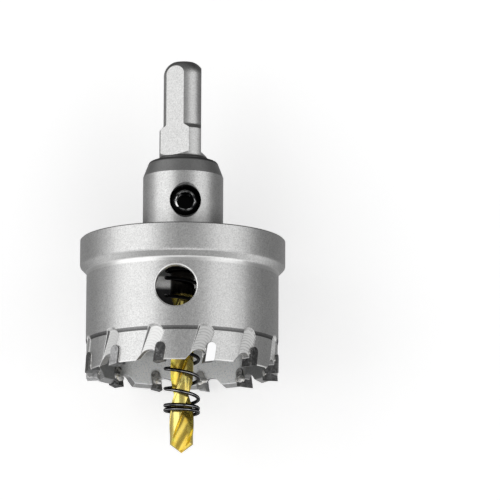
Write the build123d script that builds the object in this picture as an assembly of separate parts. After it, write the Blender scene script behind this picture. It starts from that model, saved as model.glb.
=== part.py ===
"""Carbide-tipped hole saw with a stepped three-flat shank, pilot drill and ejector spring.

Every solid is drawn in a tool frame first: Z is the tool axis with the shank
up, -Y is the front, and azimuth is counted from the front towards +X.
The finished solids are then laid on their side: the axis runs along Y with the
shank towards +Y, the front faces up and the flange rim touches Z = 0.
All lengths are millimetres, all angles degrees.
"""
import os
from math import cos, radians, sin, sqrt, tan

from build123d import *

# ---------------------------------------------------------------- dimensions
CUT_DIA = 49.0            # circle swept by the carbide tips

# saw cup
FLANGE_DIA = 51.0
FLANGE_HEIGHT = 6.7       # straight rim before the lower bevel
FLANGE_BEVEL = 1.65       # 45 degree bevel under the rim
RIM_CHAMFER = 0.25
WALL_DIA = 47.7
RING_DIA = 47.35          # tooth ring, one shallow step below the wall
STEP_TOP = -25.25
STEP_BOTTOM = -26.2
INNER_DIA = 43.2
BASE_THICKNESS = 6.5
CUP_BOTTOM = -33.6        # outer lower edge of the tooth ring
CUP_BOTTOM_INNER = -32.75
BORE_DIA = 12.0           # hole in the base that takes the arbor spigot

# slug ejection hole in the wall
SIDE_HOLE_DIA = 10.1
SIDE_HOLE_Z = -15.4
SIDE_HOLE_AZ = -4.0
SIDE_HOLE_BREAK = 0.28    # chamfer round its outer edge

# teeth
TOOTH_COUNT = 12
FIRST_EDGE_AZ = 13.2      # azimuth of one cutting edge
RAKE = 9.0                # axial lean of the tips
TIP_WIDTH = 2.32
TIP_BOTTOM = -34.2
TIP_TOP = -29.3
TIP_RELIEF = 10.0         # end clearance behind the edge
TIP_SIDE_RELIEF = 9.0
TIP_INNER_R = 21.2
GROOVE_FLOOR = 3.6        # flat of the floor; the walls slope out from it
GROOVE_WALL = 36.0        # slope of the walls, from square to the floor
GROOVE_END_RISE = 0.75    # the upper end is a shallow arc
GROOVE_HALF = 2.25        # from the centre of the groove's upper end to its top
GROOVE_LEAN = 19.5
GROOVE_TOP = -24.95
GROOVE_DEPTH = 0.75
GULLET_TOP = -31.05
GULLET_FLAT = 2.3
GULLET_RAMP = 46.7        # slope of the ramp ahead of the edge

# arbor
COLLAR_DIA = 20.0
COLLAR_STRAIGHT = 16.0
SHANK_DIA = 12.0
SHANK_SHOULDER = 27.9
SHANK_NOSE_DIA = 10.06
SHANK_TOP = 45.25
NOSE_ROUND = [(5.03, 42.15), (4.38, 43.97), (2.95, 45.25)]   # (r, z) on the domed end
FLAT_DISTANCE = 4.38      # flats, measured from the axis
FLAT_END = 20.85
FLAT_CUTTER_R = 8.8
DRILL_BORE_DIA = 6.0
DRILL_BORE_END = 15.3

# set screw
SCREW_DIA = 7.8
SCREW_Z = 8.6
SCREW_AZ = 3.6
SCREW_OUTER_R = 9.0
SCREW_HEX = 4.0
SCREW_HEX_DEPTH = 3.2
SCREW_DOME = 1.7          # rounded outer end

# pilot drill
DRILL_DIA = 6.0
DRILL_TOP = 14.0
DRILL_FLUTE_START = -14.0
DRILL_TIP = -53.2
DRILL_POINT = 2.3
DRILL_LEAD = 44.0         # axial travel of one flute turn
DRILL_LIP_AZ = -137.0
DRILL_LAND = 76.0         # angle of one land
DRILL_WEB = 0.8           # half the web, at the bottom of the round flute
DRILL_MARGIN = 0.14       # body clearance behind the margin
DRILL_RUNOUT = 5.0        # length over which the flutes rise to the plain shank

# ejector spring
WIRE_DIA = 0.9
COIL_R = 4.1

# ------------------------------------------------------------------- helpers


def ring_point(az, r, z):
    return Vector(r * sin(radians(az)), -r * cos(radians(az)), z)


def radial_plane(az, z=0.0, r=0.0):
    """Plane facing outwards at an azimuth; its x runs round the tool, its y up."""
    a = radians(az)
    normal = Vector(sin(a), -cos(a), 0)
    tangent = Vector(cos(a), sin(a), 0)
    return Plane(origin=ring_point(az, r, z), x_dir=tangent, z_dir=normal)


def turned(points, rounds=()):
    """Solid of revolution about Z from (r, z) points; rounds = (index, radius)."""
    pts = [Vector(r, 0, z) for r, z in points]
    face = Face(Wire.make_polygon(pts, close=True))
    for index, radius in rounds:
        target = pts[index]
        vertex = min(face.vertices(), key=lambda v: (Vector(v.X, v.Y, v.Z) - target).length)
        face = face.fillet_2d(radius, [vertex])
    return revolve(face, Axis.Z, 360)


def prism(plane, points, near, far, rounds=()):
    """Prism of a flat outline, reaching from near to far along the plane normal."""
    pts = [Vector(x, y, 0) for x, y in points]
    face = Face(Wire.make_polygon(pts, close=True))
    for index, radius in rounds:
        target = pts[index]
        vertex = min(face.vertices(), key=lambda v: (Vector(v.X, v.Y, v.Z) - target).length)
        face = face.fillet_2d(radius, [vertex])
    solid = extrude(face.moved(Location((0, 0, near))), amount=far - near, dir=(0, 0, 1))
    return plane.from_local_coords(solid)


def rod(plane, radius, near, far):
    disc = Face(Wire.make_circle(radius, Plane.XY.offset(near)))
    return plane.from_local_coords(extrude(disc, amount=far - near, dir=(0, 0, 1)))


def cone_rod(plane, r_near, r_far, near, far):
    cone = Solid.make_cone(r_near, r_far, far - near, Plane.XY.offset(near))
    return plane.from_local_coords(cone)


edge_azimuths = [FIRST_EDGE_AZ + 360.0 / TOOTH_COUNT * k for k in range(TOOTH_COUNT)]
rake_slope = tan(radians(RAKE))

# ------------------------------------------------------------ carbide tips


def tip_outline():
    """Leaning plate with a fully rounded upper end; x from the cutting edge."""
    r = TIP_WIDTH / 2
    c = cos(radians(RAKE))
    s = sin(radians(RAKE))
    z_mid = TIP_TOP - r
    x_edge = (z_mid - TIP_BOTTOM) * rake_slope
    centre = Vector(x_edge + r * c, z_mid, 0)
    left = centre + Vector(-r * c, r * s, 0)
    right = centre + Vector(r * c, -r * s, 0)
    top = centre + Vector(r * s, r * c, 0)
    low_left = Vector(0, TIP_BOTTOM, 0)
    relief = tan(radians(TIP_RELIEF))
    # lower right corner: where the end clearance meets the trailing side
    along = Vector(s, c, 0)
    k = (low_left.Y + relief * right.X - right.Y) / (along.Y - relief * along.X)
    low_right = right + along * k
    return low_left, left, top, right, low_right


def tip_face(extra=0.0):
    low_left, left, top, right, low_right = tip_outline()
    if extra:
        along = Vector(sin(radians(RAKE)), cos(radians(RAKE)), 0)
        low_left = low_left - along * extra
        low_right = low_right - along * extra
    wire = Wire([
        Edge.make_line(low_left, left),
        Edge.make_three_point_arc(left, top, right),
        Edge.make_line(right, low_right),
        Edge.make_line(low_right, low_left),
    ])
    return Face(wire)


def swept_outline(face, plane, near, far):
    solid = extrude(face.moved(Location((0, 0, near))), amount=far - near, dir=(0, 0, 1))
    return plane.from_local_coords(solid)


tips = []
pockets = []
for az in edge_azimuths:
    plane = radial_plane(az)
    plate = swept_outline(tip_face(), plane, TIP_INNER_R, CUT_DIA / 2 + 0.5)
    # outer face: flat, falling away behind the cutting edge
    r0 = CUT_DIA / 2
    slope = tan(radians(TIP_SIDE_RELIEF))
    top_view = [(-3.0, r0 + 3.0 * slope), (6.0, r0 - 6.0 * slope), (6.0, r0 + 4), (-3.0, r0 + 4)]
    a = radians(az)
    corner = [Vector(x * cos(a) + r * sin(a), x * sin(a) - r * cos(a), -40) for x, r in top_view]
    shave = extrude(Face(Wire.make_polygon(corner, close=True)), amount=20, dir=(0, 0, 1))
    tips.append(plate - shave)
    pockets.append(swept_outline(tip_face(3.0), plane, 18.0, 27.0))

# --------------------------------------------------------------- saw cup

flange_r = FLANGE_DIA / 2
wall_r = WALL_DIA / 2
ring_r = RING_DIA / 2
inner_r = INNER_DIA / 2
bore_r = BORE_DIA / 2

cup = turned(
    [
        (bore_r, 0),
        (flange_r - RIM_CHAMFER, 0),
        (flange_r, -RIM_CHAMFER),
        (flange_r, -FLANGE_HEIGHT),
        (wall_r, -FLANGE_HEIGHT - FLANGE_BEVEL),
        (wall_r, STEP_TOP),
        (ring_r, STEP_BOTTOM),
        (ring_r, CUP_BOTTOM + 0.22),
        (ring_r - 0.22, CUP_BOTTOM),
        (inner_r, CUP_BOTTOM_INNER),
        (inner_r, -BASE_THICKNESS),
        (bore_r, -BASE_THICKNESS),
    ],
    rounds=[(3, 1.0), (4, 0.6), (10, 1.5)],
)

# slug ejection hole, its outer edge just broken
hole_plane = radial_plane(SIDE_HOLE_AZ, z=SIDE_HOLE_Z)
side_hole = rod(hole_plane, SIDE_HOLE_DIA / 2, 15, 30)
cup = cup - side_hole
hole_rim = [e for e in cup.edges()
            if e.length > 25 and abs(e.center().Z - SIDE_HOLE_Z) < 1
            and abs(e.position_at(0).Y) > 20 and Vector(e.position_at(0).X, e.position_at(0).Y, 0).length > wall_r - 0.01]
cup = cup.chamfer(SIDE_HOLE_BREAK, None, hole_rim)

groove_cuts = []
for az in edge_azimuths:
    # milled chip groove: a flat-bottomed slot that leans and deepens downwards
    half = GROOVE_FLOOR / 2
    top = GROOVE_HALF - 0.35
    side = top - GROOVE_END_RISE
    centre_z = GROOVE_TOP - GROOVE_HALF
    centre_az = az + 0.9
    facing = centre_az - 4.3
    floor_r = ring_r - GROOVE_DEPTH
    plane = radial_plane(facing, z=centre_z)
    shift = floor_r * tan(radians(centre_az - facing))
    slot = Wire([
        Edge.make_three_point_arc(Vector(-half, side, 0), Vector(0, top, 0), Vector(half, side, 0)),
        Edge.make_line(Vector(half, side, 0), Vector(half, -14, 0)),
        Edge.make_line(Vector(half, -14, 0), Vector(-half, -14, 0)),
        Edge.make_line(Vector(-half, -14, 0), Vector(-half, side, 0)),
    ])
    blank = extrude(Face(slot), amount=2.2, dir=(0, 0, 1), taper=-GROOVE_WALL)
    blank = blank.rotate(Axis.Z, -GROOVE_LEAN)
    blank = blank.rotate(Axis.X, -3.5)
    blank = blank.moved(Location((shift, 0, floor_r + 0.3)))
    groove_cuts.append(plane.from_local_coords(blank))

    # gullet: cut right through the ring ahead of the tip
    flat = radial_plane(az)
    x_top = (GULLET_TOP - TIP_BOTTOM) * rake_slope
    run = (GULLET_TOP + 35.5) / tan(radians(GULLET_RAMP))
    outline = [
        (-(35.5 + TIP_BOTTOM) * rake_slope, -35.5),
        (x_top, GULLET_TOP),
        (-GULLET_FLAT, GULLET_TOP),
        (-GULLET_FLAT - run, -35.5),
    ]
    groove_cuts.append(prism(flat, outline, 17.0, 28.0, rounds=[(1, 1.15), (2, 2.4)]))

for tool in groove_cuts + pockets:
    cup = cup - tool

# ----------------------------------------------------------------- arbor

collar_r = COLLAR_DIA / 2
shank_r = SHANK_DIA / 2
nose_r = SHANK_NOSE_DIA / 2
drill_bore_r = DRILL_BORE_DIA / 2

arbor = turned(
    [
        (0, SHANK_TOP),
        (0, DRILL_BORE_END + drill_bore_r * tan(radians(31))),
        (drill_bore_r, DRILL_BORE_END),
        (drill_bore_r, -BASE_THICKNESS),
        (bore_r, -BASE_THICKNESS),
        (bore_r, 0),
        (collar_r - 0.2, 0),
        (collar_r, 0.2),
        (collar_r, COLLAR_STRAIGHT),
        (8.55, 19.75),
        (shank_r, 20.72),
        (shank_r, SHANK_SHOULDER),
        (nose_r, SHANK_SHOULDER + 1.0),
        (nose_r, SHANK_TOP),
    ],
    rounds=[(9, 0.9), (10, 0.7), (11, 0.3), (12, 0.75)],
)
dome = [Vector(r, 0, z) for r, z in NOSE_ROUND]
nose_cut = Wire([
    Edge.make_three_point_arc(*dome),
    Edge.make_line(dome[2], Vector(dome[2].X, 0, SHANK_TOP + 1)),
    Edge.make_line(Vector(dome[2].X, 0, SHANK_TOP + 1), Vector(nose_r + 1, 0, SHANK_TOP + 1)),
    Edge.make_line(Vector(nose_r + 1, 0, SHANK_TOP + 1), Vector(nose_r + 1, 0, dome[0].Z)),
    Edge.make_line(Vector(nose_r + 1, 0, dome[0].Z), dome[0]),
])
arbor = arbor - revolve(Face(nose_cut), Axis.Z, 360)

# three flats, each run out by a round cutter just above the collar
for az in (-30.0, 90.0, 210.0):
    plane = radial_plane(az)
    centre_z = FLAT_END + FLAT_CUTTER_R
    disc = Face(Wire.make_circle(FLAT_CUTTER_R, Plane(origin=(0, centre_z, FLAT_DISTANCE))))
    disc = extrude(disc, amount=10, dir=(0, 0, 1))
    bar = Pos(0, centre_z + 10, FLAT_DISTANCE + 5) * Box(2 * FLAT_CUTTER_R, 20, 10)
    arbor = arbor - plane.from_local_coords(disc) - plane.from_local_coords(bar)

# threaded cross hole for the set screw, countersunk at the collar
screw_plane = radial_plane(SCREW_AZ, z=SCREW_Z)
arbor = arbor - rod(screw_plane, SCREW_DIA / 2, 1.5, 14)
arbor = arbor - cone_rod(screw_plane, SCREW_DIA / 2 - 0.35, SCREW_DIA / 2 + 1.55, 9.1, 11.0)

# -------------------------------------------------------------- set screw

screw_r = SCREW_DIA / 2
screw_len = SCREW_OUTER_R - DRILL_DIA / 2
screw_profile = [
    (0, 0), (2.5, 0), (2.95, 0.3), (screw_r, 1.25),
    (screw_r, screw_len - SCREW_DOME), (screw_r - SCREW_DOME, screw_len), (0, screw_len),
]
set_screw = turned(screw_profile, rounds=[(4, 2.3), (5, 2.3)])
hexagon = Face(Wire.make_polygon(
    [Vector(SCREW_HEX / sqrt(3) * cos(radians(60 * k)), SCREW_HEX / sqrt(3) * sin(radians(60 * k)), 0)
     for k in range(6)], close=True))
socket = extrude(hexagon.moved(Location((0, 0, screw_len - SCREW_HEX_DEPTH))),
                 amount=SCREW_HEX_DEPTH + 1, dir=(0, 0, 1))
set_screw = set_screw - socket - Solid.make_cone(1.9, 2.5, 0.6, Plane.XY.offset(screw_len - 0.5))
set_screw = radial_plane(SCREW_AZ, z=SCREW_Z, r=DRILL_DIA / 2).from_local_coords(set_screw)

# ------------------------------------------------------------ pilot drill

drill_r = DRILL_DIA / 2
body_r = drill_r - DRILL_MARGIN


def drill_section():
    """Two round flutes; the first lead corner lies on +X and cuts clockwise."""
    def at(deg, r):
        return Vector(r * cos(radians(deg)), r * sin(radians(deg)), 0)

    edges = []
    for turn in (0, 180):
        lead = at(turn, drill_r)
        margin_end = at(turn + 11, drill_r)
        margin_in = at(turn + 14, body_r)
        heel = at(turn + DRILL_LAND, body_r)
        next_lead = at(turn + 180, drill_r)
        edges.append(Edge.make_three_point_arc(lead, at(turn + 5.5, drill_r), margin_end))
        edges.append(Edge.make_line(margin_end, margin_in))
        edges.append(Edge.make_three_point_arc(margin_in, at(turn + 45, body_r), heel))
        flute_mid = (DRILL_LAND + 180) / 2 - 4
        edges.append(Edge.make_three_point_arc(heel, at(turn + flute_mid, DRILL_WEB), next_lead))
    return Face(Wire(edges))


flute_len = DRILL_FLUTE_START - DRILL_TIP + 1.0
flute_turn = 360.0 * flute_len / DRILL_LEAD
fluted = Solid.extrude_linear_with_rotation(
    drill_section(), center=(0, 0, 0), normal=(0, 0, flute_len), angle=flute_turn)
lip_height = DRILL_TIP + DRILL_POINT
start_z = DRILL_TIP - 1.0
lip_phi = DRILL_LIP_AZ - 90.0
start_phi = lip_phi - 360.0 * (lip_height - start_z) / DRILL_LEAD
fluted = fluted.rotate(Axis.Z, start_phi).moved(Location((0, 0, start_z)))
point_cone = turned([
    (0, DRILL_TIP), (drill_r + 1.0, DRILL_TIP + DRILL_POINT * (drill_r + 1.0) / drill_r),
    (drill_r + 1.0, DRILL_FLUTE_START), (0, DRILL_FLUTE_START)])
fluted = fluted & point_cone
drill_shank = turned([
    (0, DRILL_FLUTE_START - DRILL_RUNOUT), (DRILL_WEB - 0.1, DRILL_FLUTE_START - DRILL_RUNOUT),
    (2.3, DRILL_FLUTE_START - 0.3 * DRILL_RUNOUT), (drill_r, DRILL_FLUTE_START - 0.01),
    (drill_r, DRILL_TOP - 0.5), (drill_r - 0.5, DRILL_TOP), (0, DRILL_TOP)],
    rounds=[(2, 3.0)])
pilot_drill = fluted + drill_shank

# --------------------------------------------------------- ejector spring

wire_r = WIRE_DIA / 2
# (turns, height of the wire centre); turn 0 crosses the left side
heights = [
    (-6.6, -6.85), (-6.1, -7.3), (-5.6, -7.82), (-5.2, -8.6), (-4.6, -11.0), (-4.0, -13.8), (-3.0, -18.3),
    (-2.0, -22.85), (-1.0, -27.45), (0.0, -32.1), (0.5, -34.6), (1.0, -37.1),
    (1.5, -39.65), (1.85, -40.98), (2.25, -41.75), (2.75, -42.25), (3.25, -42.75), (3.75, -43.25),
]


def coil_height(t):
    """Monotone cubic through the listed heights."""
    xs = [h[0] for h in heights]
    ys = [h[1] for h in heights]
    n = len(xs)
    d = [(ys[i + 1] - ys[i]) / (xs[i + 1] - xs[i]) for i in range(n - 1)]
    m = [d[0]] + [0.0 if d[i - 1] * d[i] <= 0 else 2 * d[i - 1] * d[i] / (d[i - 1] + d[i]) for i in range(1, n - 1)] + [d[-1]]
    for i in range(n - 1):
        if t <= xs[i + 1] or i == n - 2:
            h = xs[i + 1] - xs[i]
            s = (t - xs[i]) / h
            return (ys[i] * (1 + 2 * s) * (1 - s) ** 2 + m[i] * h * s * (1 - s) ** 2
                    + ys[i + 1] * s * s * (3 - 2 * s) + m[i + 1] * h * s * s * (s - 1))


steps = int(round((heights[-1][0] - heights[0][0]) * 12))
coil_points = []
for i in range(steps + 1):
    t = heights[0][0] + (heights[-1][0] - heights[0][0]) * i / steps
    coil_points.append(ring_point(-90 + 360 * t, COIL_R, coil_height(t)))
coil_path = Edge.make_spline(coil_points)
start_dir = coil_path.tangent_at(0)
coil_profile = Face(Wire.make_circle(wire_r, Plane(origin=coil_path.position_at(0), z_dir=start_dir)))
ejector_spring = sweep(coil_profile, path=coil_path, is_frenet=True)
ejector_spring = ejector_spring - Pos(0, 0, -BASE_THICKNESS + 5) * Box(20, 20, 10)

# ------------------------------------------------------------------ export

parts = {
    "saw_cup": cup,
    "arbor": arbor,
    "set_screw": set_screw,
    "pilot_drill": pilot_drill,
    "ejector_spring": ejector_spring,
}
for number, tip in enumerate(tips, start=1):
    parts[f"carbide_tip_{number:02d}"] = tip

length_low = DRILL_TIP
length_high = SHANK_TOP
lay_down = Pos(0, -(length_low + length_high) / 2, flange_r) * Rot(-90, 0, 0)

os.makedirs("parts", exist_ok=True)
for name, shape in parts.items():
    solids = shape.solids()
    print(name, "solids", len(solids), "volume", round(shape.volume, 2), "valid", shape.is_valid)
    body = max(solids, key=lambda s: s.volume)
    laid = lay_down * body
    box = laid.bounding_box()
    print("   box", [round(v, 3) for v in (*box.min, *box.max)])
    laid.label = name
    export_step(laid, f"parts/{name}.step")
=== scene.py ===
"""Looks of the hole saw: finishes of the steel, carbide, gold coating and black parts, the braze
round the teeth, a pale floor, soft studio light and the camera."""
import math

import bmesh
import bpy
import numpy as np
from mathutils import Matrix, Vector
from mathutils.bvhtree import BVHTree


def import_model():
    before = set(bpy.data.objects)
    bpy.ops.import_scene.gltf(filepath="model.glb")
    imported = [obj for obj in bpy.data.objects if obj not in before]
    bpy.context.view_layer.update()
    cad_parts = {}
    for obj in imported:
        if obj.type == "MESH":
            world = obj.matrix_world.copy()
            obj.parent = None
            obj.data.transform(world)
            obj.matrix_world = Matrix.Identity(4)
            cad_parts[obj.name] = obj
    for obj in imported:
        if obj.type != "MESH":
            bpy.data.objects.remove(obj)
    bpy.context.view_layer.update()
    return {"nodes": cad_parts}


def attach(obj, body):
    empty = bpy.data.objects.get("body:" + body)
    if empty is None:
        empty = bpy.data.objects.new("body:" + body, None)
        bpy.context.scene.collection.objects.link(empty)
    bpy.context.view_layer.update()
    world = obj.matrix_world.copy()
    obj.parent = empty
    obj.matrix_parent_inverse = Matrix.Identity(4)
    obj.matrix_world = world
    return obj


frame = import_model()
NODES = frame["nodes"]
MM = 0.001

# The tool's axis in the row frame: tool z (shank up) is row y minus SHIFT_Y, the front is +z.
SHIFT_Y = 3.975
AXIS_Z = 25.5


def to_row(x, y, z):
    """A point in the tool's own frame (mm, z up the shank, -y to the front) in row metres."""
    return Vector((x * MM, (z + SHIFT_Y) * MM, (AXIS_Z - y) * MM))


# ---------------------------------------------------------------- shader building


class Mat:
    """Short hand for building one node material."""

    def __init__(self, name):
        old = bpy.data.materials.get(name)
        if old is not None:
            old.name = name + "_plain"
        self.mat = bpy.data.materials.new(name)
        self.mat.use_nodes = True
        self.nt = self.mat.node_tree
        self.nt.nodes.clear()
        self.out = self.nt.nodes.new("ShaderNodeOutputMaterial")

    def put(self, sock, v):
        if isinstance(v, bpy.types.NodeSocket):
            self.nt.links.new(v, sock)
        elif isinstance(v, (tuple, list)) and len(v) == 3 and sock.type == "RGBA":
            sock.default_value = (*v, 1.0)
        else:
            sock.default_value = v

    def node(self, kind, ins=None, **props):
        n = self.nt.nodes.new(kind)
        for k, v in props.items():
            setattr(n, k, v)
        for k, v in (ins or {}).items():
            self.put(n.inputs[k], v)
        return n

    def m(self, op, a, b=0.0, c=0.0, clamp=False):
        n = self.node("ShaderNodeMath", operation=op, use_clamp=clamp)
        for i, v in enumerate((a, b, c)):
            if i < len(n.inputs):
                self.put(n.inputs[i], v)
        return n.outputs[0]

    def ramp(self, x, a, b, lo=0.0, hi=1.0, smooth=True):
        """lo below a, hi above b."""
        n = self.node("ShaderNodeMapRange", interpolation_type="SMOOTHSTEP" if smooth else "LINEAR", clamp=True)
        for k, v in zip(("Value", "From Min", "From Max", "To Min", "To Max"), (x, a, b, lo, hi)):
            self.put(n.inputs[k], v)
        return n.outputs[0]

    def band(self, x, a, b, soft):
        """1 between a and b, falling to 0 over soft on each side."""
        up = self.ramp(x, a - soft, a)
        down = self.ramp(x, b, b + soft, 1.0, 0.0)
        return self.m("MULTIPLY", up, down)

    def mul(self, a, b):
        return self.m("MULTIPLY", a, b)

    def add(self, a, b):
        return self.m("ADD", a, b)

    def inv(self, a):
        return self.m("SUBTRACT", 1.0, a)

    def mix(self, f, a, b):
        n = self.node("ShaderNodeMix", data_type="FLOAT")
        self.put(n.inputs[0], f)
        self.put(n.inputs[2], a)
        self.put(n.inputs[3], b)
        return n.outputs[0]

    def mixc(self, f, a, b):
        n = self.node("ShaderNodeMix", data_type="RGBA", clamp_factor=True)
        self.put(n.inputs[0], f)
        self.put(n.inputs[6], a)
        self.put(n.inputs[7], b)
        return n.outputs[2]

    def scale(self, colour, f):
        """A colour times a grey factor."""
        n = self.node("ShaderNodeVectorMath", operation="SCALE")
        self.put(n.inputs[0], colour)
        self.put(n.inputs["Scale"], f)
        return n.outputs[0]

    def coords(self):
        """Object position in mm and the tool's own measures: t along the axis, r from it, az round it."""
        tc = self.node("ShaderNodeTexCoord")
        s = self.node("ShaderNodeVectorMath", {0: tc.outputs["Object"]}, operation="SCALE")
        s.inputs["Scale"].default_value = 1000.0
        sub = self.node("ShaderNodeVectorMath", {0: s.outputs[0], 1: (0.0, SHIFT_Y, AXIS_Z)}, operation="SUBTRACT")
        self.p = sub.outputs[0]
        sep = self.node("ShaderNodeSeparateXYZ", {0: self.p})
        self.x, self.t, self.f = sep.outputs
        self.r = self.m("SQRT", self.add(self.mul(self.x, self.x), self.mul(self.f, self.f)))
        self.az = self.m("DEGREES", self.m("ARCTAN2", self.x, self.f))
        nsep = self.node("ShaderNodeSeparateXYZ", {0: tc.outputs["Normal"]})
        self.nx, self.ny, self.nz = nsep.outputs
        dot = self.add(self.mul(self.nx, self.x), self.mul(self.nz, self.f))
        self.nr = self.m("DIVIDE", dot, self.m("MAXIMUM", self.r, 0.05))
        return self.p

    def noise(self, size, detail=2.0, rough=0.5, vec=None, seed=0.0, dims="3D"):
        """Noise with features of about this size in mm, 0..1 about 0.5."""
        v = self.p if vec is None else vec
        n = self.node("ShaderNodeTexNoise", noise_dimensions="4D" if seed else dims)
        self.put(n.inputs["Vector"], v)
        if seed:
            n.inputs["W"].default_value = seed
        n.inputs["Scale"].default_value = 1.0 / size
        n.inputs["Detail"].default_value = detail
        n.inputs["Roughness"].default_value = rough
        return n.outputs["Fac"]

    def vec(self, x, y, z):
        n = self.node("ShaderNodeCombineXYZ")
        for i, v in enumerate((x, y, z)):
            self.put(n.inputs[i], v)
        return n.outputs[0]

    def bump(self, height, dist_mm, normal=None, strength=1.0):
        n = self.node("ShaderNodeBump", {"Height": height})
        n.inputs["Strength"].default_value = strength
        n.inputs["Distance"].default_value = dist_mm * MM
        if normal is not None:
            self.put(n.inputs["Normal"], normal)
        return n.outputs[0]

    def edge(self, radius_mm, samples=6):
        """Rounded normal near edges, and how far it leans from the face's own: 0 on flats, up at edges."""
        b = self.node("ShaderNodeBevel", samples=samples)
        b.inputs["Radius"].default_value = radius_mm * MM
        g = self.node("ShaderNodeNewGeometry")
        d = self.node("ShaderNodeVectorMath", {0: b.outputs[0], 1: g.outputs["Normal"]}, operation="DOT_PRODUCT")
        lean = self.m("SUBTRACT", 1.0, d.outputs["Value"], clamp=True)
        return b.outputs[0], lean

    def bsdf(self, **ins):
        n = self.node("ShaderNodeBsdfPrincipled")
        for k, v in ins.items():
            self.put(n.inputs[k.replace("_", " ")], v)
        self.nt.links.new(n.outputs[0], self.out.inputs["Surface"])
        return n


def give(material, *names):
    for n in names:
        me = NODES[n].data
        me.materials.clear()
        me.materials.append(material)


# ---------------------------------------------------------------- steel of the cup


def blasted(g, tone_size=0.9):
    """Shared satin grain: (brightness factor about 1, roughness offset about 0, height for bump)."""
    fine = g.noise(0.33, 2.0, 0.6)
    mid = g.noise(tone_size, 2.0, 0.55, seed=3.1)
    wide = g.noise(6.0, 2.0, 0.5, seed=7.7)
    tone = g.add(g.mul(g.m("SUBTRACT", fine, 0.5), 0.90), g.add(g.mul(g.m("SUBTRACT", mid, 0.5), 0.26), g.mul(g.m("SUBTRACT", wide, 0.5), 0.10)))
    rough = g.add(g.mul(g.m("SUBTRACT", mid, 0.5), 0.08), g.mul(g.m("SUBTRACT", wide, 0.5), 0.05))
    height = g.add(g.mul(fine, 0.6), g.mul(g.noise(0.16, 1.0, 0.5, seed=5.3), 0.5))
    return g.add(tone, 1.0), rough, height


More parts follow.
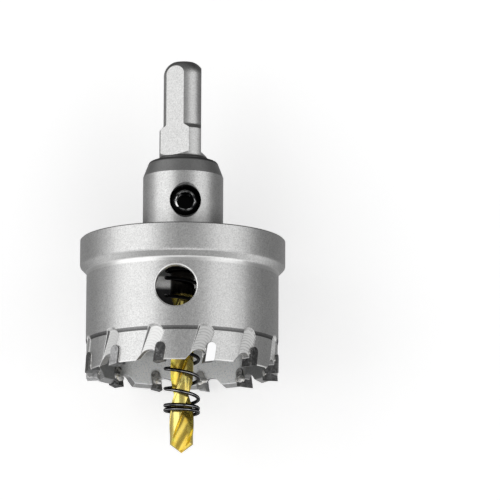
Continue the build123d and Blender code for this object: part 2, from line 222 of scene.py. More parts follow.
def cup_material():
    g = Mat("cup_steel")
    g.coords()
    tone, drough, height = blasted(g)

    # where each finish, painted shade and painted highlight lies
    inside = g.mul(g.ramp(g.r, 21.7, 21.9, 1.0, 0.0), g.ramp(g.t, -6.3, -6.6))
    ringzone = g.mul(g.band(g.r, 21.75, 23.60, 0.04), g.ramp(g.t, -24.6, -24.8))
    floor_ = g.mul(ringzone, g.ramp(g.nr, 0.86, 0.93))
    # painted shade: the side faces of the grooves
    wall_shade = g.mul(ringzone, g.mul(g.ramp(g.nr, 0.80, 0.72), g.ramp(g.nr, 0.30, 0.42)))
    wall_shade = g.mul(wall_shade, g.ramp(g.m("ABSOLUTE", g.ny), 0.62, 0.42))
    # painted shade: the cut faces of the gullets
    cut = g.mul(g.mul(g.band(g.r, 21.65, 23.64, 0.03), g.ramp(g.t, -24.6, -24.8)), g.ramp(g.nr, 0.40, 0.28))
    under = g.mul(cut, g.ramp(g.ny, -0.80, -0.90))
    # painted shade: the band at the step
    relief_shade = g.mul(g.band(g.t, -26.22, -25.30, 0.05), g.mul(g.ramp(g.r, 23.5, 23.6), g.ramp(g.nr, 0.88, 0.94)))
    # painted highlight along the lower outer edge of the cup
    lip_highlight = g.mul(g.ramp(g.t, -33.28, -33.40), g.mul(g.ramp(g.r, 23.38, 23.44), g.ramp(g.nr, 0.25, 0.4)))
    # chamfer round the side hole, painted as a bright highlight
    sa = math.radians(-4.0)
    across_h = g.add(g.mul(g.x, math.cos(sa)), g.mul(g.f, -math.sin(sa)))
    down_h = g.add(g.t, 15.4)
    hole_r = g.m("SQRT", g.add(g.mul(across_h, across_h), g.mul(down_h, down_h)))
    rim = g.mul(g.band(hole_r, 5.06, 5.34, 0.03), g.mul(g.ramp(g.r, 23.3, 23.4), g.ramp(g.f, 0.0, 1.0)))

    # painted shade on the flange's lower bevel, strongest in the middle, fading towards the sides
    bevel = g.mul(g.band(g.ny, -0.76, -0.64, 0.04), g.mul(g.ramp(g.r, 24.0, 24.1), g.ramp(g.t, -12.0, -11.5)))
    bevel = g.mul(bevel, g.ramp(g.m("ABSOLUTE", g.x), 8.0, 19.0, 0.34, 0.06))
    # painted highlight along the concave round under the flange's bevel, with a weaker band just below it
    fillet_highlight = g.mul(g.band(g.ny, -0.60, -0.12, 0.10), g.mul(g.band(g.r, 23.84, 24.25, 0.06), g.ramp(g.t, -12.0, -11.5)))
    below = g.mul(g.band(g.t, -9.10, -8.55, 0.35), g.mul(g.band(g.r, 23.8, 24.2, 0.03), g.ramp(g.nr, 0.80, 0.90)))
    fillet_highlight = g.m("MAXIMUM", fillet_highlight, g.mul(below, 0.65))

    # milled arcs of the grooves: a coordinate along each leaning groove, bent into arcs across it
    local = g.m("SUBTRACT", g.m("FLOORED_MODULO", g.add(g.az, 0.9), 30.0), 15.0)
    across = g.mul(local, 0.405)
    lean = math.radians(19.5)
    down = g.add(g.t, 27.2)
    u = g.add(g.mul(across, math.cos(lean)), g.mul(down, -math.sin(lean)))
    v = g.add(g.mul(across, math.sin(lean)), g.mul(down, math.cos(lean)))
    arc = g.add(v, g.mul(g.mul(u, u), 0.24))
    wob = g.mul(g.noise(3.2, 2.0, 0.5, seed=2.2), 0.9)
    marks = g.m("SINE", g.mul(g.add(arc, wob), 8.6))
    lines = g.ramp(marks, -0.25, 0.95)
    patchy = g.ramp(g.noise(1.6, 2.0, 0.5, seed=6.1), 0.30, 0.62)
    lines = g.mul(g.mul(lines, g.add(0.35, g.mul(patchy, 0.65))), g.ramp(g.x, -8.0, 4.0, 0.45, 1.0))

    # turned rings inside the cup and on the seat of the step
    turn = g.node("ShaderNodeTexNoise", noise_dimensions="1D")
    g.put(turn.inputs["W"], g.add(g.mul(g.t, 5.2), g.mul(g.r, 3.0)))
    turn.inputs["Scale"].default_value = 1.0
    turn.inputs["Detail"].default_value = 3.0
    turning = turn.outputs["Fac"]

    deep = g.ramp(g.t, -27.5, -19.0)
    base = g.scale((0.675, 0.675, 0.67), tone)
    base = g.mixc(floor_, base, g.scale((0.92, 0.92, 0.91), g.add(1.0, g.mul(lines, -0.27))))
    # painted shade: the side faces of the grooves are coloured dark grey
    base = g.mixc(wall_shade, base, (0.20, 0.20, 0.20))
    # painted shade: the cut faces of the gullets are darker, those turned towards the cutting end a little less so
    base = g.mixc(cut, base, g.scale((0.27, 0.27, 0.27), tone))
    base = g.mixc(under, base, g.scale((0.38, 0.38, 0.38), tone))
    # painted shade in the band at the step, darkest at its lower edge
    base = g.mixc(relief_shade, base, g.scale(g.mixc(g.ramp(g.t, -26.15, -25.30), (0.12, 0.12, 0.12), (0.25, 0.25, 0.25)), tone))
    # painted shade on the flange's lower bevel
    base = g.scale(base, g.inv(bevel))
    # painted highlight under the flange's bevel
    base = g.mixc(g.mul(fillet_highlight, 0.85), base, (0.95, 0.95, 0.94))
    seat = g.mul(g.ramp(g.t, -8.6, -7.4), g.ramp(g.r, 12.5, 15.5))
    # painted shade deep in the cup: the inner face goes nearly black away from the opening, the seat excepted
    inner = g.mixc(deep, (0.965, 0.985, 1.0), (0.05, 0.05, 0.052))
    inner = g.mixc(seat, inner, (0.9, 0.9, 0.9))
    # painted shade: the wall's inner face is darker towards the sides, as it takes light from the front only
    side = g.mul(g.ramp(g.x, 13.6, 16.2, 1.0, 0.16), g.ramp(g.x, -11.6, -16.4, 1.0, 0.20))
    inner = g.scale(inner, g.mix(g.ramp(g.t, -20.0, -24.0), 1.0, side))
    base = g.mixc(inside, base, g.scale(inner, g.mul(tone, g.add(0.92, g.mul(turning, 0.16)))))
    # fine dark film in the recesses of the grain
    specks = g.ramp(g.noise(0.42, 1.0, 0.5, seed=11.0), 0.32, 0.25)
    base = g.mixc(g.mul(specks, g.mul(g.inv(inside), 0.35)), base, (0.34, 0.34, 0.335))

    rounded, leaning = g.edge(0.17, 8)
    # painted highlights: light lines along every edge outside the cup, the lower outer edge and the chamfer round the
    # side hole
    edge_highlight = g.mul(g.ramp(leaning, 0.008, 0.07), g.inv(inside))
    bright = g.m("MAXIMUM", g.mul(edge_highlight, 0.85), g.m("MAXIMUM", lip_highlight, rim))
    base = g.mixc(bright, base, (0.96, 0.96, 0.95))

    rough = g.add(g.mix(floor_, 0.375, 0.33), drough)
    rough = g.mix(inside, rough, 0.5)
    metal = g.mix(inside, g.mix(floor_, 1.0, 0.5), g.mix(deep, 0.12, g.mix(seat, 0.7, 0.0)))
    rough = g.mix(cut, rough, 0.52)
    rough = g.mix(relief_shade, rough, 0.40)
    rough = g.mix(bright, rough, 0.24)
    rough = g.mix(fillet_highlight, rough, 0.30)

    n1 = g.bump(g.mul(height, g.inv(g.m("MAXIMUM", floor_, inside))), 0.013, rounded)
    n2 = g.bump(g.mul(lines, floor_), 0.004, n1)
    n3 = g.bump(g.mul(turning, inside), 0.020, n2)
    g.bsdf(Base_Color=base, Metallic=metal, Roughness=rough, Normal=n3)
    return g.mat


def arbor_material():
    g = Mat("arbor_steel")
    g.coords()
    tone, drough, height = blasted(g)
    # the bores are darker and turned; the set screw's hole is painted dark as shade
    bore = g.mul(g.ramp(g.r, 4.1, 3.6), g.ramp(g.t, 19.0, 18.0))
    hole_x = g.m("SUBTRACT", g.x, 0.56)
    hole_t = g.m("SUBTRACT", g.t, 8.6)
    hole_r = g.m("SQRT", g.add(g.mul(hole_x, hole_x), g.mul(hole_t, hole_t)))
    cross = g.mul(g.ramp(hole_r, 3.93, 3.86), g.ramp(g.f, 0.0, 1.0))
    # the flats and the shank are ground finer than the collar
    shank = g.ramp(g.t, 20.9, 21.3)
    # painted shadow of the flange: the collar darkens towards the flange, most on the right and at the far left
    low = g.mul(g.ramp(g.t, 9.5, 1.0), g.m("MAXIMUM", g.ramp(g.x, -4.0, 5.5, 0.42, 1.0), g.ramp(g.x, -7.6, -9.4)))
    base = g.scale((0.67, 0.67, 0.665), g.mul(tone, g.inv(g.mul(low, 0.60))))
    base = g.mixc(g.mul(shank, 0.7), base, g.scale((0.56, 0.56, 0.555), tone))
    # the upper cones are darker, with painted shade darkest in the angle under the shank
    cone = g.band(g.t, 16.05, 20.75, 0.05)
    base = g.mixc(g.mul(cone, 0.55), base, (0.48, 0.48, 0.48))
    corner_shade = g.mul(g.band(g.t, 19.35, 20.70, 0.32), g.ramp(g.r, 5.2, 5.6))
    base = g.mixc(g.mul(corner_shade, 0.9), base, (0.16, 0.16, 0.16))
    base = g.mixc(bore, base, (0.22, 0.22, 0.22))
    # painted shade inside the set screw's hole
    base = g.mixc(cross, base, (0.10, 0.10, 0.10))
    # painted shade and painted highlight on the countersink: dark on its lower half, light strokes on its upper half
    mouth_shade_highlight = g.mul(g.band(hole_r, 3.86, 4.60, 0.03), g.mul(g.band(g.nr, 0.50, 0.86, 0.04), g.ramp(g.f, 0.0, 1.0)))
    highlight_streaks = g.ramp(g.noise(0.22, 2.0, 0.5, vec=g.vec(g.mul(hole_r, 2.4), g.mul(g.x, 0.15), 0.0)), 0.38, 0.62, 0.42, 1.0)
    mouth_shade_highlight_tone = g.mix(g.ramp(hole_t, -1.5, 1.5), 0.24, highlight_streaks)
    base = g.mixc(mouth_shade_highlight, base, g.scale((1.0, 1.0, 1.0), mouth_shade_highlight_tone))
    rounded, leaning = g.edge(0.12)
    edge_highlight = g.mul(g.ramp(leaning, 0.03, 0.25), g.inv(g.mul(mouth_shade_highlight, g.ramp(hole_t, 1.5, -1.5))))
    # painted highlight along the edges, left off the lower half of the countersink
    base = g.mixc(g.mul(edge_highlight, 0.75), base, (0.92, 0.92, 0.91))
    rough = g.add(g.mix(shank, 0.375, 0.34), drough)
    rough = g.mix(edge_highlight, rough, 0.27)
    n1 = g.bump(height, 0.013, rounded)
    g.bsdf(Base_Color=base, Metallic=1.0, Roughness=rough, Normal=n1)
    return g.mat


def carbide_material():
    g = Mat("carbide")
    g.coords()
    fine = g.noise(0.12, 2.0, 0.6)
    wide = g.noise(0.8, 3.0, 0.6, seed=4.0)
    # grinding lines run across each tip
    lines = g.node("ShaderNodeTexNoise", noise_dimensions="3D")
    g.put(lines.inputs["Vector"], g.vec(g.mul(g.x, 1.5), g.mul(g.t, 16.0), g.mul(g.f, 1.5)))
    lines.inputs["Scale"].default_value = 1.0
    lines.inputs["Detail"].default_value = 3.0
    ln = lines.outputs["Fac"]
    tone = g.add(0.42, g.add(g.mul(fine, 0.36), g.mul(g.ramp(wide, 0.3, 0.7), 0.62)))
    # painted light: how bright each tip's faces come out under the lights, set tip by tip going round from the first
    step = g.m("DIVIDE", g.m("FLOORED_MODULO", g.add(g.az, 1.8), 360.0), 360.0)
    ramp = g.node("ShaderNodeValToRGB")
    el = ramp.color_ramp.elements
    ramp.color_ramp.interpolation = "CONSTANT"
    tip_light_tones = (1.0, 0.20, 0.14, 0.24, 0.30, 0.26, 0.34, 0.24, 0.30, 0.22, 0.42, 0.19)
    el[0].position, el[0].color = 0.0, (tip_light_tones[0],) * 3 + (1,)
    el[1].position, el[1].color = 1 / 12, (tip_light_tones[1],) * 3 + (1,)
    for k in range(2, 12):
        e = el.new(k / 12)
        e.color = (tip_light_tones[k],) * 3 + (1,)
    g.put(ramp.inputs[0], step)
    # painted light on the tips' inner faces, tip by tip
    inner_tip_light = g.node("ShaderNodeValToRGB")
    el = inner_tip_light.color_ramp.elements
    inner_tip_light.color_ramp.interpolation = "CONSTANT"
    tip_light_tones = (0.26, 0.20, 0.24, 0.20, 0.26, 0.62, 0.22, 0.12, 0.70, 0.26, 0.22, 0.26)
    el[0].position, el[0].color = 0.0, (tip_light_tones[0],) * 3 + (1,)
    el[1].position, el[1].color = 1 / 12, (tip_light_tones[1],) * 3 + (1,)
    for k in range(2, 12):
        e = el.new(k / 12)
        e.color = (tip_light_tones[k],) * 3 + (1,)
    g.put(inner_tip_light.inputs[0], step)
    outer = g.ramp(g.nr, 0.6, 0.85)
    own = g.mix(outer, inner_tip_light.outputs[0], g.m("MULTIPLY", ramp.outputs[0], 1.0))
    # grey smears of flux left on the faces
    smear = g.mul(g.ramp(g.noise(0.75, 3.0, 0.6, seed=8.3), 0.50, 0.64), 0.30)
    base = g.scale((0.80, 0.80, 0.805), g.mul(g.mix(g.ramp(own, 0.8, 1.0), tone, 1.18), g.m("MAXIMUM", own, g.mul(smear, 1.4))))
    blot = g.ramp(g.noise(0.9, 3.0, 0.6, seed=2.9), 0.40, 0.58)
    inner = g.mul(g.ramp(g.nr, -0.5, -0.8), g.mul(g.ramp(g.t, -33.1, -32.3), blot))
    base = g.mixc(g.mul(inner, 0.85), base, (0.52, 0.52, 0.515))
    rounded, leaning = g.edge(0.06)
    edge_highlight = g.ramp(leaning, 0.04, 0.3)
    # painted highlight along the tips' edges
    base = g.mixc(g.mul(edge_highlight, 0.5), base, (0.62, 0.62, 0.61))
    rough = g.add(g.mix(g.ramp(g.nr, 0.3, 0.6), 0.50, 0.24), g.mul(ln, 0.12))
    n1 = g.bump(ln, 0.003, rounded)
    g.bsdf(Base_Color=base, Metallic=1.0, Roughness=rough, Normal=n1)
    return g.mat


def braze_material():
    g = Mat("braze")
    g.coords()
    wide = g.noise(0.7, 3.0, 0.6)
    pits = g.ramp(g.noise(0.55, 2.0, 0.5, seed=3.0), 0.36, 0.30)
    base = g.mixc(g.ramp(wide, 0.3, 0.7), (0.55, 0.545, 0.53), (0.97, 0.96, 0.94))
    base = g.mixc(g.mul(pits, 0.8), base, (0.12, 0.12, 0.12))
    rough = g.add(0.24, g.mul(wide, 0.20))
    g.bsdf(Base_Color=base, Metallic=0.75, Roughness=rough, Normal=g.bump(wide, 0.06))
    return g.mat


def drill_material():
    g = Mat("drill_coating")
    g.coords()
    # grinding marks follow the flutes; the lands are ground round
    flute = g.ramp(g.r, 2.86, 2.72)
    lines = g.node("ShaderNodeTexNoise", noise_dimensions="2D")
    twist = g.add(g.az, g.mul(g.t, -360.0 / 44.0))
    g.put(lines.inputs["Vector"], g.vec(g.mul(twist, 0.11), g.mul(g.t, 0.35), 0.0))
    lines.inputs["Scale"].default_value = 3.0
    lines.inputs["Detail"].default_value = 3.0
    along = lines.outputs["Fac"]
    ringn = g.node("ShaderNodeTexNoise", noise_dimensions="1D")
    g.put(ringn.inputs["W"], g.mul(g.t, 9.0))
    ringn.inputs["Scale"].default_value = 1.0
    ringn.inputs["Detail"].default_value = 2.0
    around = ringn.outputs["Fac"]
    wide = g.noise(2.5, 2.0, 0.5, seed=1.7)
    gold = g.mixc(g.ramp(wide, 0.3, 0.7), (1.0, 0.66, 0.055), (1.0, 0.79, 0.17))
    streak = g.ramp(g.r, 0.9, 2.6, 0.25, 1.0)
    gold = g.scale(gold, g.add(1.0, g.mul(g.m("SUBTRACT", along, 0.35), g.mul(streak, 0.9))))
    # painted highlight: the lands are paler than the flutes
    gold = g.mixc(g.mul(g.inv(flute), 0.34), gold, (1.0, 0.88, 0.46))
    # painted shade: darker in the root of the flutes
    root = g.ramp(g.r, 2.1, 1.1)
    gold = g.mixc(g.mul(root, 0.35), gold, (0.50, 0.33, 0.03))
    # the drill is coloured black above where the flutes start
    plain = g.ramp(g.t, -14.3, -13.5)
    gold = g.mixc(plain, gold, (0.022, 0.020, 0.017))
    rounded, leaning = g.edge(0.08)
    edge_highlight = g.mul(g.ramp(leaning, 0.03, 0.25), g.inv(plain))
    gold = g.mixc(g.mul(edge_highlight, 0.6), gold, (0.98, 0.86, 0.42))
    rough = g.add(g.mix(flute, 0.12, 0.19), g.mul(along, 0.06))
    n1 = g.bump(g.mul(along, g.mul(flute, streak)), 0.012, rounded)
    n2 = g.bump(g.mul(around, g.inv(flute)), 0.006, n1)
    b = g.bsdf(Base_Color=gold, Metallic=g.mix(plain, 0.86, 1.0), Roughness=rough, Normal=n2, Coat_Weight=g.mul(g.inv(plain), 0.30))
    b.inputs["Coat Roughness"].default_value = 0.10
    b.inputs["Coat IOR"].default_value = 1.6
    return g.mat


def screw_material():
    """Black oxide, with painted highlights of bare steel on its rounded edges and in a band round the socket."""
    g = Mat("black_screw")
    g.coords()
    fine = g.noise(0.22, 3.0, 0.6)
    wide = g.noise(1.3, 2.0, 0.5, seed=9.0)
    hx = g.m("SUBTRACT", g.x, 0.56)
    ht = g.m("SUBTRACT", g.t, 8.6)
    hr = g.m("SQRT", g.add(g.mul(hx, hx), g.mul(ht, ht)))
    socket = g.ramp(hr, 2.02, 1.90)
    base = g.scale((0.026, 0.026, 0.028), g.add(0.6, g.mul(wide, 0.8)))
    rounded, leaning = g.edge(0.16)
    # painted highlights of bare steel on the rounded edges and in a band round the socket
    painted_highlight = g.mul(g.ramp(leaning, 0.05, 0.30), g.mul(g.ramp(wide, 0.40, 0.56), 0.7))
    ring_highlight = g.mul(g.band(hr, 2.22, 2.62, 0.12), g.ramp(wide, 0.38, 0.56))
    painted_highlight = g.m("MAXIMUM", painted_highlight, g.mul(ring_highlight, 0.8))
    base = g.mixc(g.mul(painted_highlight, g.inv(socket)), base, (0.92, 0.92, 0.92))
    # painted shade in the hex socket
    base = g.mixc(socket, base, (0.006, 0.006, 0.006))
    rough = g.add(0.13, g.mul(fine, 0.10))
    g.bsdf(Base_Color=base, Metallic=1.0, Roughness=rough, Normal=g.bump(fine, 0.008, rounded))
    return g.mat


def spring_material():
    """Black wire, with a painted highlight line along the front of each coil."""
    g = Mat("black_spring")
    g.coords()
    fine = g.noise(0.30, 3.0, 0.6)
    wide = g.noise(2.2, 2.0, 0.5, seed=9.0)
    base = g.scale((0.004, 0.004, 0.0045), g.add(0.6, g.mul(wide, 0.8)))
    # painted highlight: a light line on the outer face of each coil, turned a little towards the tip, on the coils
    # below t -30
    painted_highlight = g.mul(g.mul(g.ramp(g.nr, 0.40, 0.70), g.band(g.ny, -0.38, -0.22, 0.10)), g.ramp(wide, 0.42, 0.56, 0.22, 1.0))
    painted_highlight = g.mul(painted_highlight, g.ramp(g.t, -30.0, -33.0))
    base = g.mixc(g.mul(painted_highlight, 0.95), base, (0.66, 0.66, 0.68))
    rough = g.add(0.14, g.mul(fine, 0.10))
    b = g.bsdf(Base_Color=base, Metallic=g.mul(painted_highlight, 0.8), Roughness=rough, Normal=g.bump(fine, 0.006))
    b.inputs["IOR"].default_value = 1.16
    return g.mat


CUP = cup_material()
ARBOR = arbor_material()
CARBIDE = carbide_material()
BRAZE = braze_material()
DRILL = drill_material()
SCREW = screw_material()
SPRING = spring_material()

TIPS = sorted(n for n in NODES if n.startswith("carbide_tip_"))
give(CUP, "saw_cup")
give(ARBOR, "arbor")
give(CARBIDE, *TIPS)
give(DRILL, "pilot_drill")
give(SCREW, "set_screw")
give(SPRING, "ejector_spring")


# ---------------------------------------------------------------- braze round the tips


def tube(name, points, radii, sides=10):
    """Closed tube through points, its ends drawn in to a point."""
    n = len(points)
    verts, faces = [], []
    side = None
    for i, p in enumerate(points):
        d = (points[min(i + 1, n - 1)] - points[max(i - 1, 0)]).normalized()
        if side is None:
            side = d.cross(Vector((0.3, 0.2, 0.93))).normalized()
        side = (side - d * side.dot(d)).normalized()
        other = d.cross(side)
        for k in range(sides):
            a = 2 * math.pi * k / sides
            verts.append(p + (side * math.cos(a) + other * math.sin(a)) * radii[i])
    first, last = len(verts), len(verts) + 1
    verts.append(points[0] + (points[0] - points[1]).normalized() * radii[0] * 0.8)
    verts.append(points[-1] + (points[-1] - points[-2]).normalized() * radii[-1] * 0.8)
    for i in range(n - 1):
        for k in range(sides):
            a, b = i * sides + k, i * sides + (k + 1) % sides
            faces.append((a, b, b + sides, a + sides))
    for k in range(sides):
        faces.append((first, (k + 1) % sides, k))
        faces.append((last, (n - 1) * sides + k, (n - 1) * sides + (k + 1) % sides))
    me = bpy.data.meshes.new(name)
    me.from_pydata([tuple(v) for v in verts], [], faces)
    me.validate()
    bm_fix(me)
    me.polygons.foreach_set("use_smooth", [True] * len(me.polygons))
    ob = bpy.data.objects.new(name, me)
    bpy.context.scene.collection.objects.link(ob)
    return ob


def puddle(centre, along, up, out, size, seed):
    """Verts and faces of a low uneven drop of braze lying on a wall."""
    rings, sides = 10, 20
    verts = [centre + out * size[2]]
    for i in range(1, rings):
        a = math.pi * i / rings
        for k in range(sides):
            b = 2 * math.pi * k / sides
            x, y, z = math.sin(a) * math.cos(b), math.sin(a) * math.sin(b), math.cos(a)
            w = 1 + 0.13 * math.sin(2 * b + seed) + 0.10 * math.sin(3 * b + 1.9 * seed) + 0.05 * math.sin(5 * b + 0.7 * seed)
            h = 1 + 0.22 * math.sin(2.1 * x * 2 + seed) * math.cos(1.7 * y * 2 + 2 * seed)
            verts.append(centre + along * x * size[0] * w + up * y * size[1] * w + out * z * size[2] * h)
    verts.append(centre - out * size[2])
    faces = []
    for k in range(sides):
        faces.append((0, 1 + k, 1 + (k + 1) % sides))
        last = 1 + (rings - 2) * sides
        faces.append((len(verts) - 1, last + (k + 1) % sides, last + k))
    for i in range(rings - 2):
        for k in range(sides):
            a, b = 1 + i * sides + k, 1 + i * sides + (k + 1) % sides
            faces.append((a, a + sides, b + sides, b))
    return verts, faces


def joined(name, tube_ob, verts, faces):
    """One piece of a tube and a drop."""
    me = tube_ob.data
    vs = [tuple(v.co) for v in me.vertices]
    fs = [tuple(q.vertices) for q in me.polygons]
    n = len(vs)
    vs += [tuple(v) for v in verts]
    fs += [tuple(i + n for i in f) for f in faces]
    new = bpy.data.meshes.new(name)
    new.from_pydata(vs, [], fs)
    bm_fix(new)
    new.polygons.foreach_set("use_smooth", [True] * len(new.polygons))
    tube_ob.data = new
    bpy.data.meshes.remove(me)
    new.name = name
    return tube_ob


def bm_fix(me):
    """Turn all faces outwards."""
    bm = bmesh.new()
    bm.from_mesh(me)
    bmesh.ops.recalc_face_normals(bm, faces=bm.faces)
    bm.to_mesh(me)
    bm.free()


TIP_R = 1.16
TIP_LOW = -34.2
TIP_MID = -29.3 - TIP_R
LEAN_S, LEAN_C = math.sin(math.radians(9.0)), math.cos(math.radians(9.0))


def braze_line(gap):
    """Outline of one tip's seat, from low on the trailing side over the round top to the gullet."""
    cx = (TIP_MID - TIP_LOW) * LEAN_S / LEAN_C + TIP_R * LEAN_C
    out = []
    low = 2.95
    for i in range(17):
        k = low * (1 - i / 16)
        x = cx + (TIP_R + gap) * LEAN_C - LEAN_S * k
        out.append((x, TIP_MID - (TIP_R + gap) * LEAN_S - LEAN_C * k))
    for i in range(1, 24):
        a = math.pi * i / 24
        lx, lz = (TIP_R + gap) * math.cos(a), (TIP_R + gap) * math.sin(a)
        out.append((cx + lx * LEAN_C + lz * LEAN_S, TIP_MID - lx * LEAN_S + lz * LEAN_C))
    for i in range(6):
        k = 0.78 * i / 5
        x = cx - (TIP_R + gap) * LEAN_C - LEAN_S * k
        out.append((x, TIP_MID + (TIP_R + gap) * LEAN_S - LEAN_C * k))
    return out


cup_mesh = NODES["saw_cup"].data
cup_tree = BVHTree.FromPolygons([v.co.copy() for v in cup_mesh.vertices], [tuple(p.vertices) for p in cup_mesh.polygons])
line = braze_line(0.05)
for number in range(12):
    a = math.radians(13.2 + 30.0 * number)
    tangent = Vector((math.cos(a), math.sin(a)))
    normal = Vector((math.sin(a), -math.cos(a)))
    inward = Vector((-normal.x, 0.0, normal.y))
    heights = []
    for x, z in line:
        q = tangent * x + normal * 26.0
        hit = cup_tree.ray_cast(to_row(q.x, q.y, z), inward, 5.0 * MM)
        heights.append(26.0 - hit[3] / MM if hit[0] is not None else None)
    run = [(x, z, h) for (x, z), h in zip(line, heights) if h is not None and 22.2 < h < 24.2]
    if len(run) < 8:
        continue
    # no sudden steps: the metal flowed
    hs = np.array([h for _, _, h in run])
    hs = np.convolve(np.pad(hs, 2, mode="edge"), np.ones(5) / 5, mode="valid")
    pts, radii = [], []
    for i, ((x, z, _), h) in enumerate(zip(run, hs)):
        wave = 0.5 + 0.5 * math.sin(1.7 * i + 2.3 * number) * math.sin(0.6 * i + 0.9 * number)
        end = min(1.0, (i + 1) / 4, 0.45 + (len(run) - i) / 4)
        pool = max(0.0, 1 - (len(run) - 1 - i) / 7.0)
        foot = max(0.0, 1 - i / 7.0) * (0.5 + 0.5 * math.cos(2.4 * number - 1.2))
        r = (0.095 + 0.055 * wave) * end + 0.26 * pool + 0.20 * foot
        q = tangent * x + normal * (h + 0.15 * r)
        pts.append(to_row(q.x, q.y, z))
        radii.append(r * MM)
    ob = tube("braze_%02d" % (number + 1), pts, radii)
    # the drop that ran out on the wall's inner side
    q = tangent * (1.30 + 0.2 * math.sin(2.1 * number)) + normal * 21.42
    middle = to_row(q.x, q.y, -31.95 + 0.2 * math.sin(1.3 * number + 0.5))
    drop = puddle(middle, Vector((tangent.x, 0.0, -tangent.y)), Vector((0.0, 1.0, 0.0)), inward,
                  ((1.45 + 0.2 * math.sin(3.7 * number)) * MM, (1.05 + 0.15 * math.cos(2.9 * number)) * MM, 0.42 * MM), 0.8 + 1.7 * number)
    joined(ob.name, ob, *drop)
    ob.data.materials.append(BRAZE)
    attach(ob, "root")


# ---------------------------------------------------------------- floor, world, lights, camera


def floor():
    n = 24
    size = 3.0
    verts, faces = [], []
    for j in range(n + 1):
        for i in range(n + 1):
            verts.append(((i / n - 0.5) * size, (j / n - 0.5) * size, 0.0))
    for j in range(n):
        for i in range(n):
            a = j * (n + 1) + i
            faces.append((a, a + 1, a + n + 2, a + n + 1))
    me = bpy.data.meshes.new("floor")
    me.from_pydata(verts, [], faces)
    ob = bpy.data.objects.new("floor", me)
    bpy.context.scene.collection.objects.link(ob)
    g = Mat("floor_paper")
    tc = g.node("ShaderNodeTexCoord")
    s = g.node("ShaderNodeVectorMath", {0: tc.outputs["Object"]}, operation="SCALE")
    s.inputs["Scale"].default_value = 1000.0
    g.p = s.outputs[0]
    grain = g.noise(1.2, 3.0, 0.6)
    base = g.mixc(grain, (0.885, 0.885, 0.885), (0.915, 0.915, 0.915))
    b = g.bsdf(Base_Color=base, Roughness=0.85)
    b.inputs["Emission Color"].default_value = (1, 1, 1, 1)
    b.inputs["Emission Strength"].default_value = 0.42
    me.materials.append(g.mat)
    ob.visible_glossy = False
    return ob


def area(name, direction, dist, width, height, strength, target=(0.0, 0.0, 0.0255), up=(0, 1, 0)):
    d = Vector(direction).normalized()
    light = bpy.data.lights.new(name, "AREA")
    light.shape = "RECTANGLE"
    light.size = width
    light.size_y = height
    # radiance = power / (pi * area)
    light.energy = strength * math.pi * width * height
    ob = bpy.data.objects.new(name, light)
    bpy.context.scene.collection.objects.link(ob)
    z = d
    x = Vector(up).cross(z).normalized()
    y = z.cross(x)
    ob.matrix_world = Matrix.Translation(Vector(target) + d * dist) @ Matrix((x, y, z)).transposed().to_4x4()
    ob.visible_camera = False
    return ob


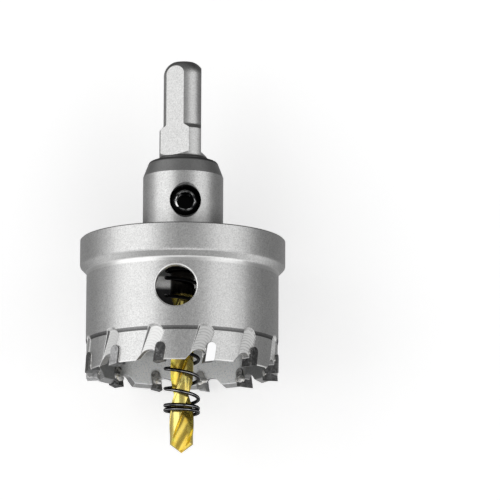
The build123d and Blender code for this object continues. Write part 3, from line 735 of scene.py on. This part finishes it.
def world():
    w = bpy.data.worlds.new("studio")
    w.use_nodes = True
    nt = w.node_tree
    nt.nodes.clear()
    out = nt.nodes.new("ShaderNodeOutputWorld")
    bg = nt.nodes.new("ShaderNodeBackground")
    tc = nt.nodes.new("ShaderNodeTexCoord")
    sep = nt.nodes.new("ShaderNodeSeparateXYZ")
    nt.links.new(tc.outputs["Generated"], sep.inputs[0])

    def math_(op, a, b):
        n = nt.nodes.new("ShaderNodeMath")
        n.operation = op
        for s, v in zip(n.inputs, (a, b)):
            if isinstance(v, bpy.types.NodeSocket):
                nt.links.new(v, s)
            else:
                s.default_value = v
        return n.outputs[0]

    def curve(x, pts):
        n = nt.nodes.new("ShaderNodeValToRGB")
        el = n.color_ramp.elements
        n.color_ramp.interpolation = "EASE"
        while len(el) > 1:
            el.remove(el[0])
        el[0].position = pts[0][0]
        el[0].color = (pts[0][1],) * 3 + (1,)
        for p, v in pts[1:]:
            e = el.new(p)
            e.color = (v,) * 3 + (1,)
        nt.links.new(x, n.inputs[0])
        return n.outputs[0]

    # round the tool's own axis: bright ahead of the drill, dim behind the shank
    pole = math_("DIVIDE", math_("ARCCOSINE", math_("MULTIPLY", sep.outputs[1], -1.0), 0.0), math.pi)
    along = curve(pole, [(0.0, 0.42), (0.083, 0.56), (0.194, 1.0), (0.278, 0.93), (0.361, 0.66), (0.433, 0.60), (0.55, 0.60), (0.68, 0.25), (0.80, 0.16), (1.0, 0.19)])
    # dimmer at and below the horizon beside the tool, the left a little brighter than the right
    z01 = math_("ADD", math_("MULTIPLY", sep.outputs[2], 0.5), 0.5)
    left = curve(z01, [(0.0, 0.50), (0.22, 0.46), (0.36, 0.70), (0.50, 0.95), (0.62, 0.85), (1.0, 1.0)])
    right = curve(z01, [(0.0, 0.50), (0.28, 0.36), (0.50, 0.36), (0.64, 0.6), (0.78, 1.0), (1.0, 1.0)])
    side = math_("ADD", math_("MULTIPLY", sep.outputs[0], 1.4), 0.5)
    n = nt.nodes.new("ShaderNodeClamp")
    nt.links.new(side, n.inputs[0])
    lr = nt.nodes.new("ShaderNodeMix")
    lr.data_type = "FLOAT"
    nt.links.new(n.outputs[0], lr.inputs[0])
    nt.links.new(left, lr.inputs[2])
    nt.links.new(right, lr.inputs[3])
    ahead = nt.nodes.new("ShaderNodeMapRange")
    ahead.interpolation_type = "SMOOTHSTEP"
    nt.links.new(pole, ahead.inputs[0])
    ahead.inputs[1].default_value = 0.25
    ahead.inputs[2].default_value = 0.42
    up_ = nt.nodes.new("ShaderNodeMix")
    up_.data_type = "FLOAT"
    nt.links.new(ahead.outputs[0], up_.inputs[0])
    up_.inputs[2].default_value = 1.0
    nt.links.new(lr.outputs[0], up_.inputs[3])
    up = up_.outputs[0]
    # the dark of the room straight above, between the lights
    gap_x = curve(math_("ABSOLUTE", sep.outputs[0], 0.0), [(0.0, 1.0), (0.20, 1.0), (0.42, 0.0)])
    gap_y = curve(math_("ABSOLUTE", sep.outputs[1], 0.0), [(0.0, 1.0), (0.25, 1.0), (0.50, 0.0)])
    gap_z = curve(z01, [(0.5, 0.0), (0.8, 1.0)])
    gap = math_("MULTIPLY", math_("MULTIPLY", gap_x, gap_y), gap_z)
    dark = math_("SUBTRACT", 1.0, math_("MULTIPLY", gap, 0.44))
    lp = nt.nodes.new("ShaderNodeLightPath")
    colour = math_("MULTIPLY", math_("MULTIPLY", along, up), dark)
    mix = nt.nodes.new("ShaderNodeMix")
    mix.data_type = "FLOAT"
    nt.links.new(lp.outputs["Is Camera Ray"], mix.inputs[0])
    nt.links.new(colour, mix.inputs[2])
    mix.inputs[3].default_value = 0.93
    nt.links.new(mix.outputs[0], bg.inputs["Strength"])
    bg.inputs["Color"].default_value = (1, 1, 1, 1)
    nt.links.new(bg.outputs[0], out.inputs["Surface"])
    bpy.context.scene.world = w


def camera():
    cam = bpy.data.cameras.new("camera")
    cam.sensor_width = 36.0
    cam.lens = 320.7
    cam.clip_start = 0.05
    cam.clip_end = 20.0
    ob = bpy.data.objects.new("camera", cam)
    bpy.context.scene.collection.objects.link(ob)
    fwd0 = Vector((0.0, 0.17313, -0.98490)).normalized()
    right0 = Vector((1.0, 0.0, 0.0))
    up0 = right0.cross(fwd0).normalized()
    roll = math.radians(0.39)
    right = right0 * math.cos(roll) + up0 * math.sin(roll)
    fwd = (fwd0 + 0.015100 * right0 + 0.015988 * up0).normalized()
    right = (right - fwd * right.dot(fwd)).normalized()
    up = right.cross(fwd).normalized()
    ob.matrix_world = Matrix.Translation(Vector((0.0, -0.2072, 1.1127))) @ Matrix((right, up, -fwd)).transposed().to_4x4()
    bpy.context.scene.camera = ob


floor()
world()
area("key_left", (-0.84, 0.12, 0.545), 0.60, 0.64, 0.72, 0.88)
area("key_right", (0.82, 0.12, 0.573), 0.60, 0.50, 0.72, 0.58)
camera()
bpy.context.scene.view_settings.view_transform = "Standard"
bpy.context.scene.view_settings.look = "None"
